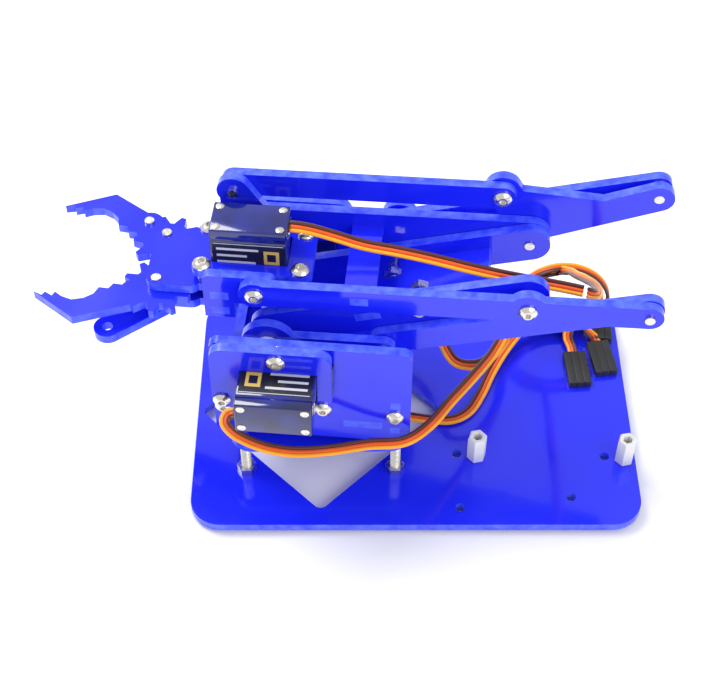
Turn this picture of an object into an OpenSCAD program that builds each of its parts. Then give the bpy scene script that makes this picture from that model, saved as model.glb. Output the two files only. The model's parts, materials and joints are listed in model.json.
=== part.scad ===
// Desktop robot arm: four micro servos, laser-cut acrylic plates and M3 button-head screws.
// A turret turns on the base. Two linkages with equal and parallel sides carry the gripper
// level, and two geared jaws open and close on it.
// X runs from the gripper to the back of the arm, Z is up. The arm is built on the
// turntable axis, with Z = 0 on top of the base plate, and each node is then set on the floor.

/* [Acrylic] */
// Thickness of every plate
sheet_t = 3; // [2.8:0.1:3.2]
// Clearance hole for an M3 screw
clear_d = 3.15; // [3.1:0.05:3.2]
// Half width of a narrow link
link_r = 4.1; // [3.6:0.1:4.4]
// Radius of a link's wide pivot end
hub_r = 6.2; // [5.6:0.1:6.4]

/* [Base] */
// Length of the base plate
base_l = 144; // [140:1:160]
// Width of the base plate
base_w = 96; // [94:1:110]
// Side of the diamond opening
diamond_side = 57.3; // [54:0.1:58]
// Distance of each deck screw from the axis, both ways
deck_screw = 24; // [23.5:0.1:24.5]
// Side of the deck plate
deck_w = 57; // [56:0.5:60]
// Height of the deck's underside above the base plate
deck_z = 15; // [14.5:0.5:15.5]

/* [Arm] */
// Length of the main arm, the forearm and their parallel links
arm_l = 80; // [79.5:0.5:80.5]
// Length of the elbow lever and of the forearm's stub
lever_l = 35; // [34.5:0.5:35.5]
// Angle of the main arm above the horizontal
arm_angle = 16.1; // [15.5:0.1:18]
// Angle of the forearm above the horizontal
fore_angle = 0.75; // [0:0.05:1.5]
// Angle of the turret about the upright axis
turret_yaw = -5.3; // [-90:0.1:90]

/* [Gripper] */
// Distance between the two jaw pivots
jaw_gap = 18.9; // [18.8:0.1:19.2]
// Teeth on a full turn of a jaw's gear
gear_teeth = 10; // [10:1:10]

/* [Hidden] */
$fn = 48;
origin_shift = [-10.2, -2, 0];
screw_d = 3;
head_d = 5.5;
head_h = 1.65;
nut_af = 5.5;
nut_h = 2.4;
floor_z = -sheet_t - head_h;

// servo: shaft on Z, ears' upper face at Z = 0, cable end at +X
case_l = 22.8;
case_w = 12.2;
cable_end = 6.1;
case_low = 18.4;
case_top = 4.3;
boss_top = 8.3;
boss_r = 5.9;
ear_t = 2.5;
ear_l = 32.2;
shaft_r = 2.3;
case_mid = cable_end - case_l / 2;

// planes across the arm, each the lower Y face of a plate
near_side_y = -27;
lever_y = -16.2;
near_link_y = -16.2;
drive_link_y = -13;
near_bracket_y = -13;
near_arm_y = -9.8;
far_bracket_y = 11.2;
far_arm_y = 11.2;
far_link_y = 14.4;
triangle_y = 17.6;
lower_link_y = 22.5;
far_side_y = 25.9;

// pivots in the arm's own upright plane
function at(p, l, a) = [p[0] + l * cos(a), p[1] + l * sin(a)];
shoulder = [-14, 51];
elbow = at(shoulder, arm_l, arm_angle);
wrist = at(elbow, -arm_l, fore_angle);
stub_end = at(elbow, lever_l, fore_angle);
lever_end = at(shoulder, lever_l, fore_angle);
crank_l = 18;
crank_angle = 121;
rear_l = 40;
rear_angle = 23.5;
triangle_top = at(elbow, crank_l, crank_angle);
triangle_rear = at(elbow, rear_l, rear_angle);
lower_pivot = at(shoulder, rear_l, rear_angle);
wrist_top = at(wrist, crank_l, crank_angle);

// turret
side_z0 = 21.5;
side_z1 = 62.7;
side_x0 = -30;
side_x1 = 30.5;
cross_x = [-28.4, 24.4];
floor_plate_z = 27.2;
side_screw_z = 33.6;
tab_z = [25.2, 37.2];
tab_h = 3;
floor_tab_x = [10, 22];
servo_clear = 0.15;
collar_t = 3;

// gripper
grip_mid_y = 0.6;
top_plate_z = 66.3;
jaw_z = 63.1;
bottom_plate_z = 59.9;
arm_z = 56.5;
link_z = 54.9;
lever_z = 51.7;
grip_servo = [-14.6, 0.4];
jaw_pivot_x = -47.8;
far_pivot = [jaw_pivot_x, grip_mid_y + jaw_gap / 2];
near_pivot = [jaw_pivot_x, grip_mid_y - jaw_gap / 2];
jaw_crank = [-7.1, 7.4];
tooth_tip = 10.7;
tooth_root = 7.6;

// leads: three wires side by side in a flat ribbon
lead_w = 3.6;
lead_h = 1.3;
face = [0.1, -0.6, 0.8];
up = [0, 0, 1];
coil_at = [82, 36];
coil_r = 13;
coil_tube = 3.5;
plug_size = [7.6, 14, 2.6];
plug_places = [[87, 17, 4], [96, 22, 8], [97, 37, 176], [79, 45.4, -90]];
elbow_route = [[-20.1, -42, 49], [-22.4, -42, 48.4], [-23.6, -42, 44], [-20.5, -42, 38.5],
    [-13, -41.4, 33], [-4, -40, 29.6], [6, -37, 27.6], [18, -33.2, 27], [29, -31, 27],
    [36.5, -24, 27], [42.5, -13, 25.8], [49, -1, 23.8], [55, 11, 21.8], [59, 23, 19.8],
    [60.8, 34, 18]];
shoulder_route = [[-20.1, 44, 49], [-22.4, 44, 48.4], [-23.4, 43.8, 44], [-19.5, 43, 37],
    [-11, 42, 30], [0, 41, 25.5], [12, 40, 23], [24, 37.6, 22], [33, 30, 21.4], [37.5, 18.5, 21],
    [43, 8.5, 20.4], [50.5, 8.5, 19.4], [56, 15, 18.2], [59.6, 24, 16.6], [61, 33, 15]];
gripper_route = [[-8.5, 0.4, 85.3], [-6, 0.4, 85.3], [-1, 0.6, 84.2], [6, 0.8, 81.8],
    [14, 0, 80], [24, -0.9, 79.2], [34, -2, 78.2], [44, -3.2, 76.9], [54, -4, 75.4],
    [63, -4.3, 74.1], [72, -4.6, 72.9], [79, -4.8, 71.7]];
drop_route = [[80.5, -4.6, 70.8], [82.4, -3.6, 69.4], [84, -0.5, 66.6], [84.6, 6, 61.6],
    [84, 13, 56.4], [82.4, 21, 50], [80.4, 29, 43.4], [78.8, 36, 37.4]];
base_route = [[6.1, 0, 1.2], [9, 0, 1.2], [16, -0.8, 1.2], [25, -2.6, 1.2], [35, -4.6, 1.2],
    [43, -5, 1.2], [49, -1.5, 1.2], [53.5, 6, 1.4], [57.5, 15, 2], [62.5, 24, 2.8],
    [68, 31.5, 4], [73, 36, 6.5]];
tail_routes = [[[86.5, 23.5, 1.3], [86, 27, 1.6], [85, 31, 3], [84, 35, 4]],
    [[95, 28.5, 1.3], [94, 31, 2.2], [91.5, 33, 4], [88.5, 35, 6]],
    [[97.4, 43.5, 1.3], [95, 46.6, 1.6], [90.5, 43, 3], [87, 38, 5]],
    [[72.5, 45.4, 1.3], [69.2, 44.4, 2], [70, 40.5, 4.5], [72, 37, 7.5]]];

// ---- placing ----

module on_floor() translate(origin_shift) translate([0, 0, -floor_z]) children();

module on_turret() on_floor() rotate([0, 0, turret_yaw]) children();

module blue() color([0.1, 0.15, 0.9]) children();

module steel() color([0.78, 0.76, 0.7]) children();

// a plate standing in the XZ plane, from y0 to y0 + t
module upright(y0, t = sheet_t)
    translate([0, y0 + t, 0])
    rotate([90, 0, 0])
    linear_extrude(t)
    children();

// a plate standing in the YZ plane, from x0 to x0 + t
module crosswise(x0, t = sheet_t)
    translate([x0, 0, 0])
    rotate([90, 0, 90])
    linear_extrude(t)
    children();

module flat(z0, t = sheet_t) translate([0, 0, z0]) linear_extrude(t) children();

// ---- outlines ----

module dot(p, r) translate(p) circle(r);

// a bar with round ends from p to q
module capsule(p, q, r) {
    v = q - p;
    translate(p) rotate(atan2(v[1], v[0])) {
        circle(r);
        translate([norm(v), 0]) circle(r);
        translate([0, -r]) square([norm(v), 2 * r]);
    }
}

module round_rect(x0, y0, x1, y1, r) {
    translate([x0 + r, y0]) square([x1 - x0 - 2 * r, y1 - y0]);
    translate([x0, y0 + r]) square([x1 - x0, y1 - y0 - 2 * r]);
    for (x = [x0 + r, x1 - r], y = [y0 + r, y1 - r]) dot([x, y], r);
}

module box2(x0, y0, x1, y1) translate([x0, y0]) square([x1 - x0, y1 - y0]);

// T slot for a screw along +X of its own frame, with the nut's pocket across it
module t_slot(len) {
    box2(-0.1, -screw_d / 2 - 0.05, len, screw_d / 2 + 0.05);
    box2(4.2, -nut_af / 2 - 0.05, 4.2 + nut_h + 0.1, nut_af / 2 + 0.05);
}

// ---- hardware ----

// button-head screw, head above Z = 0, shank down to -len
module screw(len) {
    difference() {
        intersection() {
            cylinder(d = head_d, h = head_h);
            translate([0, 0, -1.4]) sphere(r = 3.4);
        }
        translate([0, 0, head_h - 1]) cylinder(d = 2.3, h = 2, $fn = 6);
    }
    translate([0, 0, -len]) cylinder(d = screw_d, h = len + 0.1);
}

module screw_from_near(p, y, len) translate([p[0], y, p[1]]) rotate([90, 0, 0]) screw(len);

module screw_from_far(p, y, len) translate([p[0], y, p[1]]) rotate([-90, 0, 0]) screw(len);

module nut(h = nut_h)
    difference() {
        cylinder(d = nut_af / cos(30), h = h, $fn = 6);
        translate([0, 0, -1]) cylinder(d = screw_d, h = h + 2);
    }

// nut on a level screw that runs across the arm, from y to y + nut_h
module nut_across(p, y, turn = 0)
    translate([p[0], y + nut_h, p[1]]) rotate([90, 0, 0]) rotate(turn) nut();

module servo_case() {
    difference() {
        union() {
            translate([cable_end - case_l, -case_w / 2, -case_low])
            cube([case_l, case_w, case_low + case_top]);
            translate([case_mid - ear_l / 2, -case_w / 2, -ear_t]) cube([ear_l, case_w, ear_t]);
            cylinder(r = boss_r, h = boss_top);
            translate([-boss_r, 0, 0]) cylinder(r = 2.9, h = boss_top);
        }
        translate([0, 0, 3]) cylinder(r = shaft_r + 0.05, h = boss_top);
        for (s = [-1, 1])
            translate([case_mid + s * 13.9, 0, -5]) cylinder(d = 2, h = 10);
    }
}

// output shaft and its horn; the horn's upper face is at Z = top
module servo_horn(top) {
    translate([0, 0, 3.2]) cylinder(r = shaft_r, h = boss_top - 3);
    translate([0, 0, boss_top + 0.2]) cylinder(r = 3.5, h = top - boss_top - 0.2);
    translate([0, 0, top - 1.4])
    linear_extrude(1.4)
    capsule([-8, 0], [8, 0], 2.2);
}

module servo_window()
    box2(cable_end - case_l - servo_clear, -case_w / 2 - servo_clear,
        cable_end + servo_clear, case_w / 2 + servo_clear);

// the elbow servo looks to +Y, the shoulder servo to -Y, the gripper servo down
module face_far() translate([shoulder[0], near_side_y, shoulder[1]])
    rotate([-90, 0, 0]) rotate([0, 0, 180]) children();

module face_near() translate([shoulder[0], far_side_y + sheet_t, shoulder[1]])
    rotate([90, 0, 0]) mirror([1, 0, 0]) children();

module face_down() translate([grip_servo[0], grip_servo[1], top_plate_z + sheet_t])
    mirror([0, 0, 1]) children();

module window_in_side()
    translate(shoulder) mirror([1, 0]) servo_window();

// ---- base ----

board_holes = [[50.5, -19.3], [98.7, -20.6]];
free_holes = [[44.3, -17.9], [92.55, -19.15], [44.5, -39.4], [80.2, -35.3]];
standoff_h = 11;
foot_hole = 5;
top_hole = 5.4;

module each_deck_screw()
    for (x = [-deck_screw, deck_screw], y = [-deck_screw, deck_screw]) translate([x, y]) children();

module base_plate()
    blue() on_floor() flat(-sheet_t) difference() {
        round_rect(-41.5, -46, base_l - 41.5, base_w - 46, 10);
        rotate(45) round_rect(-diamond_side / 2, -diamond_side / 2,
            diamond_side / 2, diamond_side / 2, 2.5);
        each_deck_screw() circle(d = clear_d);
        for (p = free_holes) dot(p, clear_d / 2);
        for (p = board_holes) dot(p, clear_d / 2);
    }

module deck_plate()
    blue() on_floor() flat(deck_z) difference() {
        round_rect(-deck_w / 2, -deck_w / 2, deck_w / 2, deck_w / 2, 7);
        servo_window();
        each_deck_screw() circle(d = screw_d);
        for (p = base_collar_places) dot(p, screw_d / 2);
    }

module base_screws()
    steel() on_floor() {
        each_deck_screw() translate([0, 0, -sheet_t]) mirror([0, 0, 1]) screw(20);
        for (p = board_holes) translate([p[0], p[1], -sheet_t]) mirror([0, 0, 1]) screw(8);
        for (p = base_collar_places)
            translate([p[0], p[1], deck_z - ear_t - collar_t]) mirror([0, 0, 1]) screw(8);
    }

module deck_nuts() steel() on_floor() each_deck_screw() nut();

module base_servo()
    color([0.05, 0.06, 0.35]) on_floor() translate([0, 0, deck_z]) servo_case();

base_collar_places = [[case_mid - 13, 8.6], [case_mid + 13, -8.6],
    [case_mid - 13, -8.6], [case_mid + 13, 8.6]];

module collar_outline(corner = 4)
    difference() {
        round_rect(case_mid - 18, -13, case_mid + 18, 13, corner);
        servo_window();
    }

module base_servo_collar()
    blue() on_floor() flat(deck_z - ear_t - collar_t) difference() {
        collar_outline();
        for (p = base_collar_places) dot(p, screw_d / 2 + 0.1);
    }

module board_standoffs()
    color([0.95, 0.95, 0.93]) on_floor() for (p = board_holes) translate(p) difference() {
        cylinder(d = nut_af / cos(30), h = standoff_h, $fn = 6);
        translate([0, 0, -1]) cylinder(d = screw_d, h = foot_hole + 1);
        translate([0, 0, standoff_h - top_hole]) cylinder(d = screw_d, h = top_hole + 1);
    }

// ---- turret ----

module base_horn()
    color([0.92, 0.92, 0.9]) on_turret() translate([0, 0, deck_z])
    servo_horn(floor_plate_z - deck_z);

module turret_floor()
    blue() on_turret() flat(floor_plate_z) difference() {
        union() {
            box2(cross_x[0] + sheet_t, near_side_y + sheet_t, cross_x[1], far_side_y);
            box2(floor_tab_x[0], near_side_y, floor_tab_x[1], far_side_y + sheet_t);
        }
        circle(d = 6);
    }

module each_side_hole() {
    for (x = cross_x, z = tab_z) box2(x, z, x + sheet_t, z + tab_h);
    for (x = cross_x) dot([x + sheet_t / 2, side_screw_z], screw_d / 2);
    box2(floor_tab_x[0], floor_plate_z, floor_tab_x[1], floor_plate_z + sheet_t);
}

module near_side_plate()
    blue() on_turret() upright(near_side_y) difference() {
        round_rect(side_x0, side_z0, side_x1, side_z1, 3);
        window_in_side();
        each_side_hole();
        for (p = collar_low) dot(p, screw_d / 2);
    }

module far_side_plate()
    blue() on_turret() upright(far_side_y) difference() {
        union() {
            round_rect(side_x0, side_z0, side_x1, side_z1, 3);
            capsule([lower_pivot[0], side_z1 - 8], lower_pivot, 5.5);
        }
        window_in_side();
        each_side_hole();
        for (p = collar_low) dot(p, screw_d / 2);
        dot(lower_pivot, screw_d / 2);
    }

cross_top = 41.4;
well_z = 33;
well_y = [-16.2, 18];

module cross_outline() {
    y0 = near_side_y + sheet_t;
    y1 = far_side_y;
    difference() {
        union() {
            box2(y0, side_z0, y1, cross_top);
            for (z = tab_z) box2(y0 - sheet_t, z, y1 + sheet_t, z + tab_h);
        }
        box2(well_y[0], well_z, well_y[1], cross_top + 1);
        translate([y0, side_screw_z]) t_slot(7);
        translate([y1, side_screw_z]) mirror([1, 0]) t_slot(7);
    }
}

module front_cross_plate() blue() on_turret() crosswise(cross_x[0]) cross_outline();

module rear_cross_plate() blue() on_turret() crosswise(cross_x[1]) cross_outline();

module frame_nuts()
    steel() on_turret() for (x = cross_x) {
        p = [x + sheet_t / 2, side_screw_z];
        nut_across(p, near_side_y + sheet_t + 4.25);
        nut_across(p, far_side_y - 4.25 - nut_h);
    }

module elbow_servo() color([0.05, 0.06, 0.35]) on_turret() face_far() servo_case();

module shoulder_servo() color([0.05, 0.06, 0.35]) on_turret() face_near() servo_case();

collar_box = [-29, 39.7, 7, 65.7];
collar_low = [[-26, 43.2], [4.4, 42.2]];
collar_top = [-9.1, 62.1];

module side_collar_outline()
    difference() {
        round_rect(collar_box[0], collar_box[1], collar_box[2], collar_box[3], 4);
        window_in_side();
        for (p = collar_low) dot(p, screw_d / 2 + 0.1);
        dot(collar_top, screw_d / 2 + 0.1);
    }

module side_servo_collars()
    blue() on_turret() {
        upright(near_side_y - ear_t - collar_t) side_collar_outline();
        upright(far_side_y + sheet_t + ear_t) side_collar_outline();
    }

module turret_screws()
    steel() on_turret() {
        near_y = near_side_y - ear_t - collar_t;
        far_y = far_side_y + sheet_t + ear_t + collar_t;
        for (x = cross_x) {
            p = [x + sheet_t / 2, side_screw_z];
            screw_from_near(p, near_side_y, 9.8);
            screw_from_far(p, far_side_y + sheet_t, 9.8);
        }
        for (p = collar_low) {
            screw_from_near(p, near_y, 8);
            screw_from_far(p, far_y, 8);
        }
        screw_from_near(collar_top, near_y, 5);
        screw_from_far(collar_top, far_y, 5);
        screw_from_far(lower_pivot, far_side_y + sheet_t, 8);
    }

// ---- main arm ----

brace_from = 25;
brace_to = arm_l - 12;
tab_places = [27, 52];
tab_len = 8;
near_slot_at = 47;
far_slot_at = 38;

module along_arm() translate(shoulder) rotate(arm_angle) children();

module arm_slots(slot_at) along_arm() {
    for (s = tab_places) box2(s, -sheet_t / 2, s + tab_len, sheet_t / 2);
    dot([slot_at, 0], screw_d / 2);
}

module near_arm_plate()
    blue() on_turret() upright(near_arm_y) difference() {
        capsule(shoulder, elbow, hub_r);
        dot(shoulder, screw_d / 2);
        dot(elbow, screw_d / 2);
        arm_slots(near_slot_at);
    }

module far_arm_plate()
    blue() on_turret() upright(far_arm_y) difference() {
        capsule(shoulder, elbow, hub_r);
        dot(shoulder, 2.5);
        dot(elbow, screw_d / 2);
        arm_slots(far_slot_at);
    }

// the brace lies in the plane of the arm's centre line: X along the arm, Y across it
module arm_brace()
    blue() on_turret()
    translate([shoulder[0], 0, shoulder[1]]) rotate([0, -arm_angle, 0])
    flat(-sheet_t / 2) difference() {
        y0 = near_arm_y + sheet_t;
        union() {
            box2(brace_from, y0, brace_to, far_arm_y);
            for (s = tab_places) box2(s, near_arm_y, s + tab_len, far_arm_y + sheet_t);
        }
        translate([near_slot_at, y0]) rotate(90) t_slot(7);
        translate([far_slot_at, far_arm_y]) rotate(-90) t_slot(7);
    }

module arm_screws()
    steel() on_turret() {
        screw_from_near(shoulder, near_arm_y, 6);
        screw_from_near(elbow, near_link_y, 9.4);
        screw_from_far(elbow, triangle_y + sheet_t, 10);
        screw_from_near(at(shoulder, near_slot_at, arm_angle), near_arm_y, 9.8);
        screw_from_far(at(shoulder, far_slot_at, arm_angle), far_arm_y + sheet_t, 9.8);
    }

module tilted_nut(s, y)
    translate([shoulder[0], 0, shoulder[1]]) rotate([0, -arm_angle, 0])
    nut_across([s, 0], y, 30);

module arm_nuts()
    steel() on_turret() {
        tilted_nut(near_slot_at, near_arm_y + sheet_t + 4.25);
        tilted_nut(far_slot_at, far_arm_y - 4.25 - nut_h);
    }

module shoulder_horn()
    color([0.92, 0.92, 0.9]) on_turret() face_near() servo_horn(far_side_y - far_arm_y);

// ---- elbow drive ----

// the pin's short path is taken as straight, which needs this much room in two of its holes
loose_r = 1.95;

module elbow_horn()
    color([0.92, 0.92, 0.9]) on_turret() face_far() servo_horn(lever_y - near_side_y);

module elbow_lever()
    blue() on_turret() upright(lever_y) difference() {
        union() {
            dot(shoulder, 8.2);
            capsule(shoulder, lever_end, 3.6);
        }
        dot(shoulder, 1.5);
        dot(lever_end, loose_r);
    }

module lever_pin()
    steel() on_turret() screw_from_near(lever_end, lever_y, 6);

module elbow_link()
    blue() on_turret() upright(drive_link_y) difference() {
        capsule(lever_end, stub_end, 4.4);
        dot(lever_end, clear_d / 2);
        dot(stub_end, loose_r);
    }

// ---- forearm ----

cross_at = 44.5;
cross_w = 9.3;
cross_tab = 5.4;

module forearm_tab_hole()
    translate(elbow) rotate(fore_angle)
    box2(-cross_at - (cross_w + cross_tab) / 2, -sheet_t / 2,
        -cross_at - (cross_w - cross_tab) / 2, sheet_t / 2);

module near_forearm_link()
    blue() on_turret() upright(near_link_y) difference() {
        union() {
            capsule(wrist, stub_end, link_r);
            dot(elbow, hub_r);
            dot(wrist, 4.8);
        }
        dot(wrist, clear_d / 2);
        dot(elbow, clear_d / 2);
        dot(stub_end, screw_d / 2);
        forearm_tab_hole();
    }

module far_forearm_link()
    blue() on_turret() upright(far_link_y) difference() {
        capsule(wrist, elbow, hub_r);
        dot(wrist, clear_d / 2);
        dot(elbow, clear_d / 2);
        forearm_tab_hole();
    }

module forearm_crossbar()
    blue() on_turret()
    translate([elbow[0], 0, elbow[1]]) rotate([0, -fore_angle, 0])
    flat(-sheet_t / 2) {
        mid = -cross_at - cross_w / 2;
        box2(mid - cross_w / 2, near_link_y + sheet_t, mid + cross_w / 2, far_link_y);
        box2(mid - cross_tab / 2, near_link_y, mid + cross_tab / 2, far_link_y + sheet_t);
    }

module stub_screw()
    steel() on_turret() screw_from_far(stub_end, drive_link_y + sheet_t, 7);

// ---- level linkage ----

module triangle_plate()
    blue() on_turret() upright(triangle_y) difference() {
        union() {
            capsule(elbow, triangle_top, 5.4);
            capsule(elbow, triangle_rear, 4.6);
            capsule(at(triangle_top, 4, -70), at(elbow, 22, rear_angle + 2), 4.6);
            dot(elbow, 6.6);
        }
        dot(elbow, clear_d / 2);
        dot(triangle_top, screw_d / 2);
        dot(triangle_rear, screw_d / 2);
    }

// the rear screw has a shoulder that holds the lower link off the triangle
module triangle_screws()
    steel() on_turret() {
        screw_from_near(triangle_top, far_link_y, 6);
        screw_from_far(triangle_rear, lower_link_y + sheet_t, 8);
        y = triangle_y + sheet_t;
        upright(y, lower_link_y - 0.1 - y) dot(triangle_rear, 3.2);
    }

module plain_link(p, q, y)
    blue() on_turret() upright(y) difference() {
        capsule(p, q, link_r);
        dot(p, clear_d / 2);
        dot(q, clear_d / 2);
    }

module upper_link() plain_link(wrist_top, triangle_top, far_link_y);

module lower_link() plain_link(lower_pivot, triangle_rear, lower_link_y);

// ---- gripper ----

front_x = -51;
wide_x = -34.2;
wide_y = [-11.4, 12.6];
bracket_x = [-33, -24];
plate_tab_x = [-31, -25.5];
top_tab_x = [-22, -12.5];

module gripper_holes() {
    translate(grip_servo) servo_window();
    dot(far_pivot, clear_d / 2);
    dot(near_pivot, clear_d / 2);
}

collar_spots = [[-33.9, -7.3], [-4.4, -7.3], [-33.9, 8.1], [-4.4, 8.1]];

module gripper_top_plate()
    blue() on_turret() flat(top_plate_z) difference() {
        y0 = near_bracket_y + sheet_t;
        union() {
            round_rect(front_x, wide_y[0], wide_x, wide_y[1], 3.5);
            box2(wide_x - 6, y0, -1.6, far_bracket_y);
            for (x = [plate_tab_x, top_tab_x])
                box2(x[0], near_bracket_y, x[1], far_bracket_y + sheet_t);
        }
        gripper_holes();
        for (p = collar_spots) dot(p, screw_d / 2);
    }

module gripper_base_plate()
    blue() on_turret() flat(bottom_plate_z) difference() {
        union() {
            round_rect(front_x, wide_y[0], wide_x, wide_y[1], 3.5);
            box2(wide_x - 6, near_bracket_y + sheet_t, -23.4, far_bracket_y);
            box2(-24, -6.2, -7.6, 10.8);
            box2(plate_tab_x[0], near_bracket_y, plate_tab_x[1], far_bracket_y + sheet_t);
        }
        dot(grip_servo, boss_r + 0.2);
        dot([grip_servo[0] - boss_r, grip_servo[1]], 3.1);
        dot(far_pivot, clear_d / 2);
        dot(near_pivot, clear_d / 2);
    }

module bracket_body() {
    box2(bracket_x[0], 58.6, bracket_x[1], 71);
    round_rect(bracket_x[0], 65, -11.5, 76, 2);
}

module bracket_slots() {
    box2(plate_tab_x[0], top_plate_z, plate_tab_x[1], top_plate_z + sheet_t);
    box2(top_tab_x[0], top_plate_z, top_tab_x[1], top_plate_z + sheet_t);
    box2(plate_tab_x[0], bottom_plate_z, plate_tab_x[1], bottom_plate_z + sheet_t);
    dot(wrist, screw_d / 2);
}

module near_wrist_bracket()
    blue() on_turret() upright(near_bracket_y) difference() {
        bracket_body();
        bracket_slots();
    }

module far_wrist_bracket()
    blue() on_turret() upright(far_bracket_y) difference() {
        union() {
            bracket_body();
            capsule(wrist, wrist_top, 5);
            capsule([-26, 71], wrist_top, 4.2);
        }
        bracket_slots();
        dot(wrist_top, screw_d / 2);
    }

module gripper_servo() color([0.05, 0.06, 0.35]) on_turret() face_down() servo_case();

module gripper_servo_collar()
    blue() on_turret() flat(top_plate_z + sheet_t + ear_t) difference() {
        round_rect(-37, -9.8, -1, 11, 3);
        translate(grip_servo) servo_window();
        for (p = collar_spots) dot(p, screw_d / 2 + 0.1);
    }

module gripper_screws()
    steel() on_turret() {
        for (p = collar_spots)
            translate([p[0], p[1], top_plate_z + sheet_t + ear_t + collar_t]) screw(8.4);
        screw_from_near(wrist, near_link_y, 6.4);
        screw_from_far(wrist, far_link_y + sheet_t, 6.2);
        screw_from_far(wrist_top, far_link_y + sheet_t, 7.4);
        screw_from_below(far_pivot, bottom_plate_z, 10);
    }

module gripper_horn()
    color([0.92, 0.92, 0.9]) on_turret() face_down()
    servo_horn(top_plate_z + sheet_t - lever_z - sheet_t);

lever_pin_at = grip_servo + jaw_crank;
jaw_pin_at = far_pivot + jaw_crank;

module jaw_lever()
    blue() on_turret() flat(lever_z) difference() {
        union() {
            dot(grip_servo, 4);
            capsule(grip_servo, lever_pin_at, 3.1);
        }
        dot(lever_pin_at, screw_d / 2);
    }

module screw_from_below(p, z, len) translate([p[0], p[1], z]) mirror([0, 0, 1]) screw(len);

module jaw_lever_screw() steel() on_turret() screw_from_below(lever_pin_at, lever_z, 6.2);

module jaw_link()
    blue() on_turret() flat(link_z) difference() {
        capsule(lever_pin_at, jaw_pin_at, 3.1);
        dot(lever_pin_at, clear_d / 2);
        dot(jaw_pin_at, clear_d / 2);
    }

// one tooth pointing along +X
module tooth()
    polygon([[tooth_root - 2, -2], [tooth_root, -1.7], [tooth_tip, -0.75],
        [tooth_tip, 0.75], [tooth_root, 1.7], [tooth_root - 2, 2]]);

module gear(phase) {
    circle(tooth_root);
    for (i = [1:gear_teeth]) rotate(phase + i * 360 / gear_teeth) tooth();
}

// a jaw that points along -X when closed, drawn for the near side and opened by angle a
module jaw_blade(a)
    rotate(a) mirror([1, 0]) polygon([[4, 3.6], [9, 3], [10.5, 1.6], [13, 2.4], [14.6, 0.6],
        [17.4, 1.4], [19, -1], [22, -2.4], [25.6, -2.6], [28.6, -0.8], [30.4, 1.2], [31.4, -0.2],
        [33.4, 1.6], [34.4, 0.4], [36.8, 2.2], [25.6, -9.8], [6, -6.4]]);

near_open = 12.5;
far_open = 22.8;
pitch_angle = 360 / gear_teeth;

module near_jaw()
    blue() on_turret() translate([near_pivot[0], near_pivot[1], 0]) flat(jaw_z) difference() {
        union() {
            gear(90);
            jaw_blade(near_open);
        }
        circle(d = screw_d);
    }

module near_jaw_arm() {
    arm_end = near_pivot + [-13.5, -11.9];
    blue() on_turret() flat(arm_z) difference() {
        capsule(near_pivot, arm_end, 4.2);
        dot(near_pivot, screw_d / 2);
        dot(arm_end, screw_d / 2 + 0.1);
    }
}

module near_jaw_screw() steel() on_turret() screw_from_below(near_pivot, arm_z, 13.2);

module far_jaw()
    blue() on_turret() translate([far_pivot[0], far_pivot[1], 0]) flat(jaw_z) difference() {
        union() {
            gear(-90 + pitch_angle / 2);
            mirror([0, 1]) jaw_blade(far_open);
            dot(jaw_crank, 4.4);
        }
        circle(d = clear_d);
        dot(jaw_crank, screw_d / 2);
    }

// screw with a shoulder that keeps the link clear of the jaw
module far_jaw_screw()
    steel() on_turret() {
        screw_from_below(jaw_pin_at, link_z, 12.2);
        z = link_z + sheet_t + 0.2;
        translate([jaw_pin_at[0], jaw_pin_at[1], z]) cylinder(r = 2.6, h = jaw_z - z);
    }

// ---- leads ----

function unit(v) = v / norm(v);

function way(path, i) =
    i == 0 ? unit(path[1] - path[0])
    : i == len(path) - 1 ? unit(path[i] - path[i - 1])
    : unit(path[i + 1] - path[i - 1]);

function ring(path, i, guide) =
    let(t = way(path, i), s = unit(cross(t, guide)), u = cross(s, t))
    [for (k = [0:7]) let(a = 22.5 + 45 * k)
        path[i] + s * lead_w / 2 * cos(a) + u * lead_h / 2 * sin(a)];

module ribbon(path, guide) {
    n = len(path);
    points = [for (i = [0:n - 1]) each ring(path, i, guide)];
    sides = [for (i = [0:n - 2], k = [0:7])
        [8 * i + k, 8 * i + (k + 1) % 8, 8 * i + 8 + (k + 1) % 8, 8 * i + 8 + k]];
    polyhedron(points, concat([[for (k = [7:-1:0]) k]], sides,
        [[for (k = [0:7]) 8 * (n - 1) + k]]));
}

module elbow_lead() color("orange") on_turret() ribbon(elbow_route, face);

module shoulder_lead() color("orange") on_turret() ribbon(shoulder_route, face);

module gripper_lead() color("orange") on_turret() ribbon(gripper_route, face);

module lead_drop() color("orange") on_turret() ribbon(drop_route, face);

module base_lead() color("orange") on_floor() ribbon(base_route, up);

module lead_tails() color("orange") on_floor() for (r = tail_routes) ribbon(r, up);

module lead_coil()
    color("orange") on_floor() translate([coil_at[0], coil_at[1], coil_r + coil_tube])
    rotate([90, 0, 0]) rotate_extrude() translate([coil_r, 0]) circle(coil_tube, $fn = 24);

module lead_plugs()
    color([0.12, 0.12, 0.12]) on_floor() for (p = plug_places)
    translate([p[0], p[1], 0]) rotate(p[2])
    translate([-plug_size[0] / 2, -plug_size[1] / 2, 0]) cube(plug_size);

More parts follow.
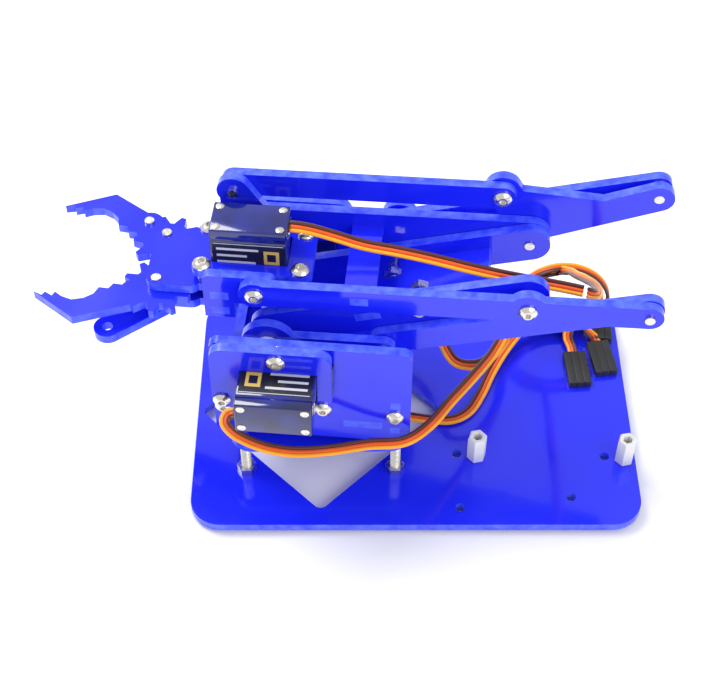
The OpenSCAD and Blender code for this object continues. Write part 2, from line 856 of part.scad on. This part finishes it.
base_plate();
deck_plate();
base_screws();
deck_nuts();
base_servo();
base_servo_collar();
board_standoffs();
base_horn();
turret_floor();
near_side_plate();
far_side_plate();
front_cross_plate();
rear_cross_plate();
turret_screws();
frame_nuts();
elbow_servo();
shoulder_servo();
side_servo_collars();
shoulder_horn();
near_arm_plate();
far_arm_plate();
arm_brace();
arm_screws();
arm_nuts();
elbow_horn();
elbow_lever();
lever_pin();
elbow_link();
near_forearm_link();
far_forearm_link();
forearm_crossbar();
stub_screw();
triangle_plate();
triangle_screws();
upper_link();
lower_link();
gripper_top_plate();
gripper_base_plate();
near_wrist_bracket();
far_wrist_bracket();
gripper_servo();
gripper_servo_collar();
gripper_screws();
gripper_horn();
jaw_lever();
jaw_lever_screw();
jaw_link();
near_jaw();
near_jaw_arm();
near_jaw_screw();
far_jaw();
far_jaw_screw();
elbow_lead();
shoulder_lead();
gripper_lead();
lead_drop();
base_lead();
lead_coil();
lead_tails();
lead_plugs();
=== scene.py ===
"""Looks of the desktop robot arm: acrylic, micro servos, nickel screws and three-wire leads.

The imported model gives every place. Lengths here are millimetres in the arm's own frame, which
has its origin on the turntable axis at the top of the base plate, and row() turns them into
the row's metres.
"""

import json
import math

import bmesh
import bpy
from mathutils import Matrix, Vector


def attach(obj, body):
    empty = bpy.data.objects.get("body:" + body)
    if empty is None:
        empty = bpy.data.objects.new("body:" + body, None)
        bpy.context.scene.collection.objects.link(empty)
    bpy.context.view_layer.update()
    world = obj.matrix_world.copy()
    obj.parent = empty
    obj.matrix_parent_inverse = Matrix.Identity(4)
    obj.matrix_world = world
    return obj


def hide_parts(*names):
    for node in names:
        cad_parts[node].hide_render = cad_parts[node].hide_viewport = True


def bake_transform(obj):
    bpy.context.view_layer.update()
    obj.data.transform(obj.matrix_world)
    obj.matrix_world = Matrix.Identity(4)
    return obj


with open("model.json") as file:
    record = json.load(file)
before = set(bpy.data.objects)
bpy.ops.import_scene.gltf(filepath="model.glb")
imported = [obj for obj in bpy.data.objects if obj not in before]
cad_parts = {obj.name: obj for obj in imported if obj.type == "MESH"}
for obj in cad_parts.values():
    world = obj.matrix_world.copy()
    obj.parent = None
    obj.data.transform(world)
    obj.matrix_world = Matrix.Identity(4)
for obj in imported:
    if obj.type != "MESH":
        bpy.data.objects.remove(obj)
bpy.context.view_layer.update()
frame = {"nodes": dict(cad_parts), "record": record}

# ---- the arm's own frame ----

FLOOR_Z = -4.65
ORIGIN = Vector((-10.2, -2, -FLOOR_Z))
TURN = Matrix.Rotation(math.radians(-5.3), 3, "Z")
SHOULDER = (-14, 51)


def row(point, turned=False):
    """A point in millimetres, on the turret if turned, as metres in the row frame."""
    p = Vector(point)
    return ((TURN @ p if turned else p) + ORIGIN) / 1000


# ---- camera ----

LENS = 74.98
PITCH = math.radians(48.89)
YAW = math.radians(0.245)
ROLL = math.radians(0.171)
EYE = (11.25, -312.97, 394.83)


def add_camera():
    forward = Vector(
        (math.sin(YAW) * math.cos(PITCH), math.cos(YAW) * math.cos(PITCH), -math.sin(PITCH))
    )
    right = Vector((math.cos(YAW), -math.sin(YAW), 0))
    up = right.cross(forward)
    c, s = math.cos(ROLL), math.sin(ROLL)
    right, up = c * right + s * up, c * up - s * right
    camera = bpy.data.objects.new("camera", bpy.data.cameras.new("camera"))
    bpy.context.scene.collection.objects.link(camera)
    camera.data.lens = LENS
    camera.data.sensor_width = 36
    camera.data.clip_end = 20
    turn = Matrix((right, up, -forward)).transposed().to_4x4()
    camera.matrix_world = Matrix.Translation(row(EYE)) @ turn
    bpy.context.scene.camera = camera


add_camera()

# ---- node materials ----


def new_material(name, color, rough, metal=0.0, coat=0.0):
    """A principled material and its nodes; what is the same all over is set on the shader."""
    m = bpy.data.materials.new(name)
    m.use_nodes = True
    shader = m.node_tree.nodes["Principled BSDF"]
    shader.inputs["Base Color"].default_value = (*color, 1)
    shader.inputs["Roughness"].default_value = rough
    shader.inputs["Metallic"].default_value = metal
    shader.inputs["Coat Weight"].default_value = coat
    return m, m.node_tree, shader


def noise(tree, scale, detail=3.0):
    where = tree.nodes.new("ShaderNodeTexCoord")
    tex = tree.nodes.new("ShaderNodeTexNoise")
    tex.inputs["Scale"].default_value = scale
    tex.inputs["Detail"].default_value = detail
    tree.links.new(where.outputs["Object"], tex.inputs["Vector"])
    return tex.outputs["Fac"]


def ramp(tree, value, low, high, start=0.3, end=0.7):
    """Colours from low to high over a value between start and end."""
    r = tree.nodes.new("ShaderNodeValToRGB")
    r.color_ramp.elements[0].position = start
    r.color_ramp.elements[1].position = end
    r.color_ramp.elements[0].color = (*low, 1)
    r.color_ramp.elements[1].color = (*high, 1)
    tree.links.new(value, r.inputs["Fac"])
    return r.outputs["Color"]


def spread(tree, value, low, high):
    """A number from low to high over a noise value."""
    m = tree.nodes.new("ShaderNodeMapRange")
    m.inputs["From Min"].default_value = 0.3
    m.inputs["From Max"].default_value = 0.7
    m.inputs["To Min"].default_value = low
    m.inputs["To Max"].default_value = high
    tree.links.new(value, m.inputs["Value"])
    return m.outputs["Result"]


def bump(tree, shader, height, distance, strength=1.0):
    b = tree.nodes.new("ShaderNodeBump")
    b.inputs["Distance"].default_value = distance
    b.inputs["Strength"].default_value = strength
    tree.links.new(height, b.inputs["Height"])
    tree.links.new(b.outputs["Normal"], shader.inputs["Normal"])


def acrylic_sheet():
    m, tree, shader = new_material("acrylic_sheet", (0.01, 0.02, 0.86), 0.12, coat=0.3)
    shader.inputs["Coat Roughness"].default_value = 0.03
    cloud = noise(tree, 14)
    tree.links.new(
        ramp(tree, cloud, (0.008, 0.015, 0.82), (0.012, 0.023, 0.89)), shader.inputs["Base Color"]
    )
    tree.links.new(spread(tree, noise(tree, 55, 5), 0.08, 0.2), shader.inputs["Roughness"])
    return m


def acrylic_edge_highlight():
    # The cut edges get a lighter blue than the sheet faces: a painted highlight for the light that
    # catches the edges.
    m, tree, shader = new_material("acrylic_edge_highlight", (0.05, 0.09, 1.0), 0.25)
    streak = noise(tree, 320, 2)
    tree.links.new(
        ramp(tree, streak, (0.03, 0.055, 0.95), (0.09, 0.15, 1.0)), shader.inputs["Base Color"]
    )
    bump(tree, shader, streak, 0.0001, 0.4)
    return m


def nickel():
    m, tree, shader = new_material("nickel", (0.76, 0.73, 0.67), 0.22, metal=1.0)
    tree.links.new(spread(tree, noise(tree, 700), 0.14, 0.34), shader.inputs["Roughness"])
    bump(tree, shader, noise(tree, 1500), 0.00003, 0.4)
    return m


def moulded(name, color, rough, grain=1800, coat=0.0):
    """Moulded plastic: fine grain and a little unevenness in its gloss."""
    m, tree, shader = new_material(name, color, rough, coat=coat)
    dark = tuple(0.86 * c for c in color)
    tree.links.new(ramp(tree, noise(tree, 120), dark, color), shader.inputs["Base Color"])
    bump(tree, shader, noise(tree, grain), 0.00004, 0.35)
    return m


def servo_blue():
    """Dark see-through blue: the works inside show as darker patches."""
    m, tree, shader = new_material("servo_blue", (0.006, 0.012, 0.16), 0.1, coat=0.6)
    works = noise(tree, 90, 1)
    tree.links.new(
        ramp(tree, works, (0.003, 0.005, 0.06), (0.007, 0.014, 0.19), 0.35, 0.65),
        shader.inputs["Base Color"],
    )
    return m


SHEET = acrylic_sheet()
EDGE_HIGHLIGHT = acrylic_edge_highlight()
NICKEL = nickel()
NYLON = moulded("nylon_white", (0.86, 0.86, 0.84), 0.45)
HORN = moulded("horn_white", (0.80, 0.80, 0.76), 0.4)
CASE = servo_blue()
# The label black also colours the plugs' latch windows, as painted shade.
LABEL_AND_WINDOW_SHADE = moulded("label_black_and_window_shade", (0.008, 0.008, 0.012), 0.28)
SILVER = moulded("label_silver", (0.55, 0.56, 0.6), 0.35)
GOLD = moulded("label_gold", (0.62, 0.42, 0.08), 0.35)
PLUG = moulded("plug_black", (0.02, 0.022, 0.025), 0.5, 900)
WIRE_BROWN = moulded("wire_brown", (0.09, 0.022, 0.01), 0.35)
WIRE_RED = moulded("wire_red", (0.80, 0.10, 0.008), 0.35)
WIRE_YELLOW = moulded("wire_yellow", (1.0, 0.40, 0.008), 0.35)

# ---- CAD nodes keep their shapes and get materials ----

NODE_MATERIAL = {"nickel": NICKEL, "nylon": NYLON, "horn": HORN, "servo_case": CASE, "plug": PLUG}


def cut_edges(mesh):
    """Marks each face of a flat plate that isn't one of its two sheet faces."""
    area = {}
    for f in mesh.polygons:
        n = f.normal if f.normal.z + f.normal.y * 0.01 + f.normal.x * 0.001 > 0 else -f.normal
        key = tuple(round(c, 2) for c in n)
        area[key] = area.get(key, 0) + f.area
    across = Vector(max(area, key=area.get)).normalized()
    for f in mesh.polygons:
        # Index 1 takes the cut edges' lighter blue, a painted highlight.
        f.material_index = 0 if abs(f.normal.dot(across)) > 0.97 else 1


for part in frame["record"]["subparts"]:
    piece = frame["nodes"][part["node"]]
    slot = part["material_slot"]
    piece.data.materials.clear()
    if slot == "acrylic":
        piece.data.materials.append(SHEET)
        # The second material is the cut edges' lighter blue, a painted highlight.
        piece.data.materials.append(EDGE_HIGHLIGHT)
        cut_edges(piece.data)
    elif slot in NODE_MATERIAL:
        piece.data.materials.append(NODE_MATERIAL[slot])
    else:
        piece.data.materials.append(WIRE_RED)

# ---- mesh helpers, in millimetres until a piece is placed ----


def mesh_piece(name, bm, materials, place=None, smooth=True):
    """A piece from a bmesh, put in the row frame by place, a matrix in millimetres."""
    if place is not None:
        bm.transform(place)
    bm.transform(Matrix.Scale(0.001, 4))
    bmesh.ops.recalc_face_normals(bm, faces=bm.faces)
    mesh = bpy.data.meshes.new(name)
    bm.to_mesh(mesh)
    bm.free()
    for m in materials:
        mesh.materials.append(m)
    piece = bpy.data.objects.new(name, mesh)
    bpy.context.scene.collection.objects.link(piece)
    if smooth:
        mesh.shade_smooth()
        mesh.set_sharp_from_angle(angle=math.radians(35))
    return piece


def add_block(bm, low, high, bevel=0.0, material=0):
    """A block between two corners with rounded edges."""
    before = set(bm.faces)
    size = Vector(high) - Vector(low)
    middle = (Vector(high) + Vector(low)) / 2
    place = Matrix.Translation(middle) @ Matrix.Diagonal((*size, 1))
    verts = bmesh.ops.create_cube(bm, size=1, matrix=place)["verts"]
    if bevel:
        edges = list({e for v in verts for e in v.link_edges})
        bmesh.ops.bevel(bm, geom=edges, offset=bevel, segments=3, profile=0.5, affect="EDGES")
    for f in set(bm.faces) - before:
        f.material_index = material


def add_ring_stack(bm, rings, sides, material=0, turn=0.0, at=(0, 0, 0)):
    """A turned solid: rings of (radius, z) joined in order and closed at both ends."""
    loops = []
    for r, z in rings:
        loop = []
        for i in range(sides):
            a = turn + 2 * math.pi * i / sides
            corner = (at[0] + r * math.cos(a), at[1] + r * math.sin(a), at[2] + z)
            loop.append(bm.verts.new(corner))
        loops.append(loop)
    faces = [bm.faces.new(loops[0][::-1]), bm.faces.new(loops[-1])]
    for lower, upper in zip(loops, loops[1:]):
        for i in range(sides):
            j = (i + 1) % sides
            faces.append(bm.faces.new((lower[i], lower[j], upper[j], upper[i])))
    for f in faces:
        f.material_index = material


# ---- leads ----

WIRE_R = 0.62
WIRE_GAP = 1.16
FACE = Vector((0.1, -0.6, 0.8))
UP = Vector((0, 0, 1))
COIL_AT = Vector((82, 36, 16.5))
COIL_R = 13
TURN_STEP = 1.3
TURN_POINTS = 18
INNER_TURN = 2.6
LAYER_OFF = 0.8
GUIDE_REACH = 6

ELBOW_ROUTE = [
    (-20.1, -42, 49), (-22.4, -42, 48.4), (-23.6, -42, 44), (-20.5, -42, 38.5), (-13, -41.4, 33),
    (-4, -40, 29.6), (6, -37, 27.6), (18, -33.2, 27), (29, -31, 27), (36.5, -24, 27),
    (42.5, -13, 25.8), (49, -1, 23.8), (55, 11, 21.8), (59, 23, 19.8), (60.8, 34, 18),
]
SHOULDER_ROUTE = [
    (-20.1, 44, 49), (-22.4, 44, 48.4), (-23.4, 43.8, 44), (-19.5, 43, 37), (-11, 42, 30),
    (0, 41, 25.5), (12, 40, 23), (24, 37.6, 22), (33, 30, 21.4), (37.5, 18.5, 21),
    (43, 8.5, 20.4), (50.5, 8.5, 19.4), (56, 15, 18.2), (59.6, 24, 16.6), (61, 33, 15),
]
GRIPPER_ROUTE = [
    (-8.5, 0.4, 85.3), (-6, 0.4, 85.3), (-1, 0.6, 84.2), (6, 0.8, 81.8), (14, 0, 80),
    (24, -0.9, 79.2), (34, -2, 78.2), (44, -3.2, 76.9), (54, -4, 75.4), (63, -4.3, 74.1),
    (72, -4.6, 72.9), (79, -4.8, 71.7),
]
DROP_ROUTE = [
    (80.5, -4.6, 70.8), (82.4, -3.6, 69.4), (84, -0.5, 66.6), (84.6, 6, 61.6), (84, 13, 56.4),
    (82.4, 21, 50), (80.4, 29, 43.4), (78.8, 36, 37.4),
]
BASE_ROUTE = [
    (6.1, 0, 1.2), (9, 0, 1.2), (16, -0.8, 1.2), (25, -2.6, 1.2), (35, -4.6, 1.2), (43, -5, 1.2),
    (49, -1.5, 1.2), (53.5, 6, 1.4), (57.5, 15, 2), (62.5, 24, 2.8), (68, 31.5, 4),
]
TAIL_ROUTES = [
    [(84, 35, 4), (85, 31, 3), (86, 27, 1.6), (86.5, 23.5, 1.3)],
    [(88.5, 35, 6), (91.5, 33, 4), (94, 31, 2.2), (95, 28.5, 1.3)],
    [(87, 38, 5), (90.5, 43, 3), (95, 46.6, 1.6), (97.4, 43.5, 1.3)],
    [(72, 37, 7.5), (70, 40.5, 4.5), (69.2, 44.4, 2), (72.5, 45.4, 1.3)],
]


def smooth_line(points, step=1.2):
    """Points about a step apart on a smooth curve through the given ones."""
    p = [2 * points[0] - points[1], *points, 2 * points[-1] - points[-2]]
    line = []
    for a, b, c, d in zip(p, p[1:], p[2:], p[3:]):
        count = max(2, round((c - b).length / step))
        for i in range(count):
            t = i / count
            line.append(
                0.5 * (2 * b + (c - a) * t + (2 * a - 5 * b + 4 * c - d) * t * t
                       + (3 * b - a - 3 * c + d) * t ** 3)
            )
    return line + [points[-1]]


def coil_turns(start, turns, first, side):
    """Turns of a lead in the tied coil, from an angle in degrees; first numbers its layer."""
    points = []
    count = round(TURN_POINTS * turns)
    for i in range(count + 1):
        layer = first + i / TURN_POINTS
        a = math.radians(start + 360 / TURN_POINTS * i)
        r = COIL_R - INNER_TURN + TURN_STEP * layer
        y = side * LAYER_OFF + 0.5 * math.sin(2 * a + layer)
        points.append(COIL_AT + Vector((r * math.cos(a), y, r * math.sin(a))))
    return points


def add_lead(name, line, guides):
    """Three wires side by side along a line; a guide is the way that the flat side looks."""
    bm = bmesh.new()
    sides = 8
    before = None
    rings = []
    for i, p in enumerate(line):
        t = (line[min(i + 1, len(line) - 1)] - line[max(i - 1, 0)]).normalized()
        s = t.cross(guides[i]).normalized()
        if before is not None and s.dot(before) < 0:
            s = -s
        before = s
        u = s.cross(t)
        three = []
        for k in (-1, 0, 1):
            middle = p + s * WIRE_GAP * k
            three.append([
                bm.verts.new(middle + WIRE_R * (s * math.cos(2 * math.pi * j / sides)
                                                + u * math.sin(2 * math.pi * j / sides)))
                for j in range(sides)
            ])
        rings.append(three)
    for k in range(3):
        for a, b in zip(rings, rings[1:]):
            for j in range(sides):
                n = (j + 1) % sides
                bm.faces.new((a[k][j], a[k][n], b[k][n], b[k][j])).material_index = k
        bm.faces.new(rings[0][k][::-1]).material_index = k
        bm.faces.new(rings[-1][k]).material_index = k
    place = Matrix.Translation(ORIGIN)
    piece = mesh_piece(name, bm, [WIRE_BROWN, WIRE_RED, WIRE_YELLOW], place)
    return piece


def even_guides(line, parts):
    """One guide a point: each part is (how many points, guide), eased at the joins."""
    raw = []
    for count, guide in parts:
        for i in range(count):
            p = line[len(raw)]
            raw.append((p - COIL_AT).normalized() if guide is None else guide)
    out = []
    for i in range(len(raw)):
        near = raw[max(0, i - GUIDE_REACH): i + GUIDE_REACH + 1]
        out.append(sum(near, Vector()).normalized())
    return out


def lead_to_plug(name, route, guide, start, turns, first, side, tail):
    """A lead from its exit, through the coil, to its plug."""
    free = smooth_line([Vector(p) for p in route] + coil_turns(start, turns, first, side)[:2])
    coil = smooth_line(coil_turns(start, turns, first, side)[1:])
    end = smooth_line([coil[-1]] + [Vector(p) for p in TAIL_ROUTES[tail][1:]])
    line = free + coil[1:] + end[1:]
    guides = even_guides(
        line, [(len(free), guide), (len(coil) - 1, None), (len(end) - 1, UP)]
    )
    piece = add_lead(name, line, guides)
    return piece


PLUG_SIZE = (7.6, 14, 2.6)
PLUG_PLACES = [(87, 17, 4), (96, 22, 8), (97, 37, 176), (79, 45.4, -90)]


def add_plug(name, place):
    """A three-way housing: three bevelled channels with a latch window in each, drawn as a darker
    sheet just under the top, painted shade of the window's opening.
    """
    w, l, h = PLUG_SIZE
    bm = bmesh.new()
    for k in (-1, 0, 1):
        x = k * w / 3
        add_block(bm, (x - w / 6, -l / 2, 0), (x + w / 6, l / 2, h), 0.22)
        # The latch window: a thin darker sheet, painted shade where the opening is.
        add_block(bm, (x - 0.6, -l / 2 + 3.4, h - 0.12), (x + 0.6, -l / 2 + 5.6, h - 0.01), 0.0, 1)
    x, y, angle = place
    to = Matrix.Translation(ORIGIN + Vector((x, y, 0)))
    to = to @ Matrix.Rotation(math.radians(angle), 4, "Z")
    piece = mesh_piece(name, bm, [PLUG, LABEL_AND_WINDOW_SHADE], to)
    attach(piece, "base")
    return piece


plugs = [add_plug(f"plug_{i + 1}", place) for i, place in enumerate(PLUG_PLACES)]
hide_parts("lead_plugs")


def turned(route):
    return [TURN @ Vector(p) for p in route]


elbow_wire = lead_to_plug(
    "elbow_wire", turned(ELBOW_ROUTE), TURN @ FACE, 220, 0.2, 0.2, 1, 0
)
shoulder_wire = lead_to_plug(
    "shoulder_wire", turned(SHOULDER_ROUTE), TURN @ FACE, 200, 0.35, 1.4, -1, 1
)
base_wire = lead_to_plug("base_wire", BASE_ROUTE, UP, 230, 1.2, 2.0, 1, 2)
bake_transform(elbow_wire)
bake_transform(shoulder_wire)
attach(base_wire, "base")
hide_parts("elbow_lead")
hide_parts("shoulder_lead")
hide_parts("base_lead", "lead_coil", "lead_tails")

drop_wire = lead_to_plug(
    "gripper_wire_drop", turned(DROP_ROUTE), TURN @ FACE, 100, 1.3, 3.2, -1, 3
)
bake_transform(drop_wire)
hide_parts("lead_drop")

gripper_line = smooth_line(turned(GRIPPER_ROUTE))
gripper_wire = add_lead(
    "gripper_wire", gripper_line, even_guides(gripper_line, [(len(gripper_line), TURN @ FACE)])
)
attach(gripper_wire, "gripper")
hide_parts("gripper_lead")

# ---- servos ----

CABLE_END = 6.1
FAR_END = CABLE_END - 22.8
HALF_W = 6.1
CASE_LOW = -18.4
SEAM = 0.12


def servo_mesh():
    """A micro servo in its own frame: shaft up, cable end at +X, ears' upper face at Z = 0."""
    bm = bmesh.new()
    case = 0
    add_block(bm, (FAR_END, -HALF_W, CASE_LOW), (CABLE_END, HALF_W, -14.6), 0.5, case)
    lip_low = (FAR_END + SEAM, -HALF_W + SEAM)
    lip_high = (CABLE_END - SEAM, HALF_W - SEAM)
    add_block(bm, (*lip_low, -14.8), (*lip_high, -14.3))
    add_block(bm, (FAR_END, -HALF_W, -14.5), (CABLE_END, HALF_W, -0.6), 0.35, case)
    add_block(bm, (*lip_low, -0.8), (*lip_high, -0.3))
    add_block(bm, (FAR_END, -HALF_W, -0.5), (CABLE_END, HALF_W, 4.3), 0.5, case)
    add_block(bm, (FAR_END - 4.6, -HALF_W, -2.5), (FAR_END + 1, HALF_W, 0), 0.3, case)
    add_block(bm, (CABLE_END - 1, -HALF_W, -2.5), (CABLE_END + 4.6, HALF_W, 0), 0.3, case)
    boss = [(5.9, 4), (5.9, 7.9), (5.5, 8.3), (3.4, 8.3), (3.2, 8.0)]
    add_ring_stack(bm, boss, 48, case)
    add_ring_stack(bm, [(2.9, 4), (2.9, 7.9), (2.5, 8.3)], 32, case, at=(-5.9, 0, 0))
    add_block(bm, (CABLE_END - 1, -2.2, -17.2), (CABLE_END + 0.5, 2.2, -15.2), 0.3, 1)
    for x in (FAR_END + 2, CABLE_END - 2):
        for y in (-HALF_W + 1.9, HALF_W - 1.9):
            screw = [(1.3, -0.02), (1.3, 0.1), (1.0, 0.3), (0.45, 0.3), (0.35, 0.12)]
            add_ring_stack(bm, [(r, -z) for r, z in screw], 20, 2, at=(x, y, CASE_LOW))
    add_label(bm)
    return bm


def add_label(bm):
    """A black wrap on the two long sides, with plain bars and one disc, and no lettering."""
    low, high = -13.6, -3.4
    left, right = FAR_END + 0.7, CABLE_END - 0.7
    for side in (-1, 1):

        def panel(x0, x1, z0, z1, rise, material):
            ys = sorted((side * (HALF_W - 0.05), side * (HALF_W + rise)))
            add_block(bm, (x0, ys[0], z0), (x1, ys[1], z1), 0, material)

        panel(left, right, low, high, 0.03, 3)
        panel(left + 0.3, right - 0.3, low + 0.3, low + 0.55, 0.05, 4)
        panel(left + 0.3, right - 0.3, high - 0.55, high - 0.3, 0.05, 4)
        for i, wide in enumerate((11.5, 9, 12.5)):
            z = high - 2.0 - 2.6 * i
            panel(left + 1.2, left + 1.2 + wide, z - 0.9, z, 0.05, 4)
        panel(right - 6.2, right - 1.6, low + 2.6, high - 2.2, 0.05, 5)
        panel(right - 5.2, right - 2.6, low + 3.8, high - 3.4, 0.07, 3)


def in_turret(x, y, z):
    return Matrix.Translation(ORIGIN) @ TURN.to_4x4() @ Matrix.Translation((x, y, z))


def turn(angle, axis):
    return Matrix.Rotation(math.radians(angle), 4, axis)


FLIP_X = Matrix.Diagonal((-1, 1, 1, 1))
FLIP_Z = Matrix.Diagonal((1, 1, -1, 1))
SERVO_PLACES = {
    "base_servo": ("base", Matrix.Translation(ORIGIN + Vector((0, 0, 15)))),
    "elbow_servo": (
        "turret",
        in_turret(SHOULDER[0], -27, SHOULDER[1]) @ turn(-90, "X") @ turn(180, "Z"),
    ),
    "shoulder_servo": (
        "turret",
        in_turret(SHOULDER[0], 28.9, SHOULDER[1]) @ turn(90, "X") @ FLIP_X,
    ),
    "gripper_servo": ("gripper", in_turret(-14.6, 0.4, 69.3) @ FLIP_Z),
}

for node, (body, place) in SERVO_PLACES.items():
    piece = mesh_piece(
        f"{node}_detail", servo_mesh(), [CASE, PLUG, NICKEL, LABEL_AND_WINDOW_SHADE, SILVER, GOLD], place
    )
    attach(piece, body)
    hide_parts(node)

# ---- standoffs and threads ----

BOARD_HOLES = [(50.5, -19.3), (98.7, -20.6)]
STANDOFF_R = 5.5 / 2 / math.cos(math.pi / 6)
DECK_SCREW = 24
THREAD_PITCH = 0.5
THREAD_TURNS = 25


def add_standoffs():
    """White nylon hex standoffs with chamfered ends and an open hole in the top."""
    bm = bmesh.new()
    for x, y in BOARD_HOLES:
        outer = [(1.55, 0.02), (2.75, 0.02), (STANDOFF_R, 0.7), (STANDOFF_R, 10.3), (2.75, 11)]
        inner = [(1.75, 11), (1.5, 10.7), (1.5, 5), (0.2, 4.6)]
        rings = outer + inner
        add_ring_stack(bm, rings, 6, turn=math.radians(12), at=(x, y, 0))
    piece = mesh_piece("standoff_detail", bm, [NYLON], Matrix.Translation(ORIGIN))
    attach(piece, "base")
    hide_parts("board_standoffs")


def add_threads():
    """The thread that shows on the four deck screws, as a stack of sharp ridges."""
    bm = bmesh.new()
    for x in (-DECK_SCREW, DECK_SCREW):
        for y in (-DECK_SCREW, DECK_SCREW):
            rings = []
            for i in range(THREAD_TURNS):
                z = 2.5 + THREAD_PITCH * i
                rings += [(1.5, z), (1.68, z + THREAD_PITCH / 2)]
            add_ring_stack(bm, rings, 20, at=(x, y, 0))
    piece = mesh_piece("deck_screw_threads", bm, [NICKEL], Matrix.Translation(ORIGIN))
    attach(piece, "base")


add_standoffs()
add_threads()

# ---- floor and light ----


def add_floor():
    bm = bmesh.new()
    bmesh.ops.create_grid(bm, x_segments=1, y_segments=1, size=3000)
    floor_material, tree, shader = new_material("studio_floor", (0.9, 0.9, 0.9), 0.7)
    tree.links.new(
        ramp(tree, noise(tree, 3), (0.885, 0.885, 0.89), (0.9, 0.9, 0.9)),
        shader.inputs["Base Color"],
    )
    mesh_piece("studio_floor", bm, [floor_material], smooth=False)


def add_area(name, place, size, power):
    light = bpy.data.lights.new(name, "AREA")
    light.shape = "RECTANGLE"
    light.size, light.size_y = size
    light.energy = power
    lamp = bpy.data.objects.new(name, light)
    bpy.context.scene.collection.objects.link(lamp)
    lamp.location = place
    lamp.rotation_euler = (-Vector(place)).to_track_quat("-Z", "Y").to_euler()


def add_world():
    world = bpy.data.worlds.new("studio")
    bpy.context.scene.world = world
    world.use_nodes = True
    world.node_tree.nodes["Background"].inputs["Color"].default_value = (1, 1, 1, 1)
    world.node_tree.nodes["Background"].inputs["Strength"].default_value = 0.75


add_floor()
add_world()
add_area("key", (-0.5, 0.35, 0.9), (0.7, 0.5), 11)
add_area("fill", (0.6, -0.7, 0.7), (0.8, 0.6), 5)
bpy.context.scene.view_settings.view_transform = "Standard"
